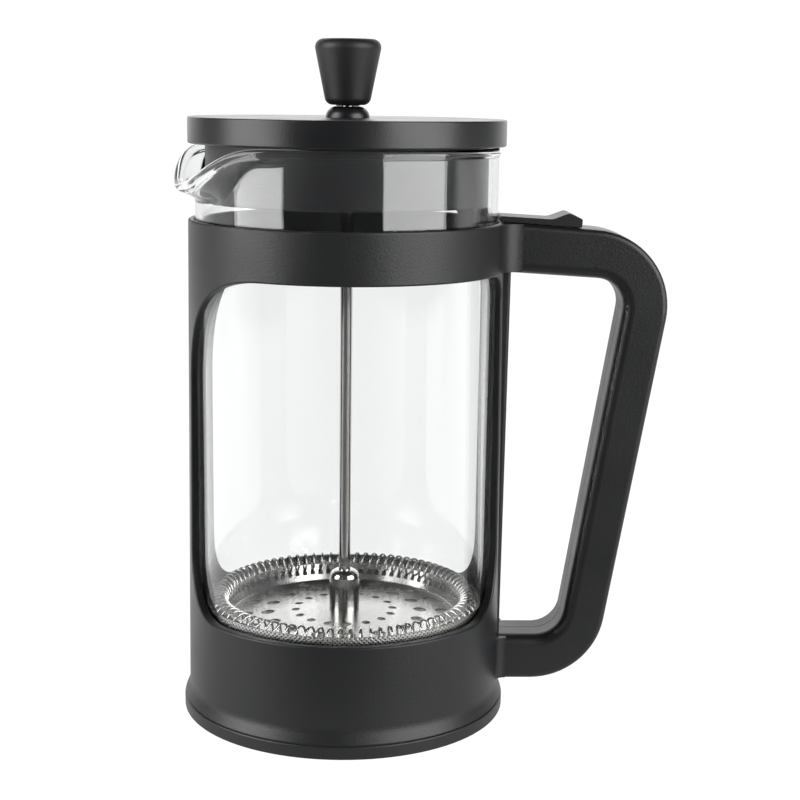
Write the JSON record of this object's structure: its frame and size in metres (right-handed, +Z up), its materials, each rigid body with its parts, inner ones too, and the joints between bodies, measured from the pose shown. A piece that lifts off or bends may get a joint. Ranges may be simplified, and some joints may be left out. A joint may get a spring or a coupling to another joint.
{
  "type": "french press",
  "caption": "Press-pot coffee maker: a spouted glass beaker in a moulded frame with a D-handle, under a lid that guides a plunger with a spring-edged filter",
  "frame": {"origin": "centre of the foot's flat underside, on the beaker's axis", "axes": "+Z up along the plunger, +X towards the handle; the frame's two windows face +Y and -Y"},
  "size_m": [0.1579, 0.1068, 0.2188],
  "materials": {
    "black_plastic": "fine spark-textured black polypropylene",
    "dark_plastic": "plain matte black polypropylene",
    "glass": "clear borosilicate, fire-polished rim",
    "steel": "polished stainless steel",
    "spring_steel": "bright drawn stainless wire",
    "woven_steel": "fine woven stainless wire cloth"
  },
  "bodies": {
    "frame": {"frame": "black_plastic"},
    "latch": {"latch": "black_plastic"},
    "beaker": {"beaker": "glass"},
    "lid": {"lid_cap": "black_plastic", "lid_liner": "dark_plastic", "rod_guide": "black_plastic"},
    "plunger": {"knob": "black_plastic", "knob_insert": "steel", "rod": "steel", "rod_ferrule": "steel", "spiral_plate": "steel", "coil_spring": "spring_steel", "mesh_screen": "woven_steel", "cross_plate": "steel", "hub_nut": "steel"}
  },
  "joints": [
    {"name": "latch_slide", "type": "slide", "parent": "frame", "child": "latch", "axis": [0.9977, 0, -0.0677], "range_m": [0, 0.008]},
    {"name": "beaker_lift", "type": "slide", "parent": "frame", "child": "beaker", "axis": [0, 0, 1], "range_m": [0, 0.17]},
    {"name": "lid_lift", "type": "slide", "parent": "beaker", "child": "lid", "axis": [0, 0, 1], "range_m": [0, 0.165]},
    {"name": "plunger_slide", "type": "slide", "parent": "lid", "child": "plunger", "axis": [0, 0, 1], "range_m": [0, 0.12]}
  ]
}
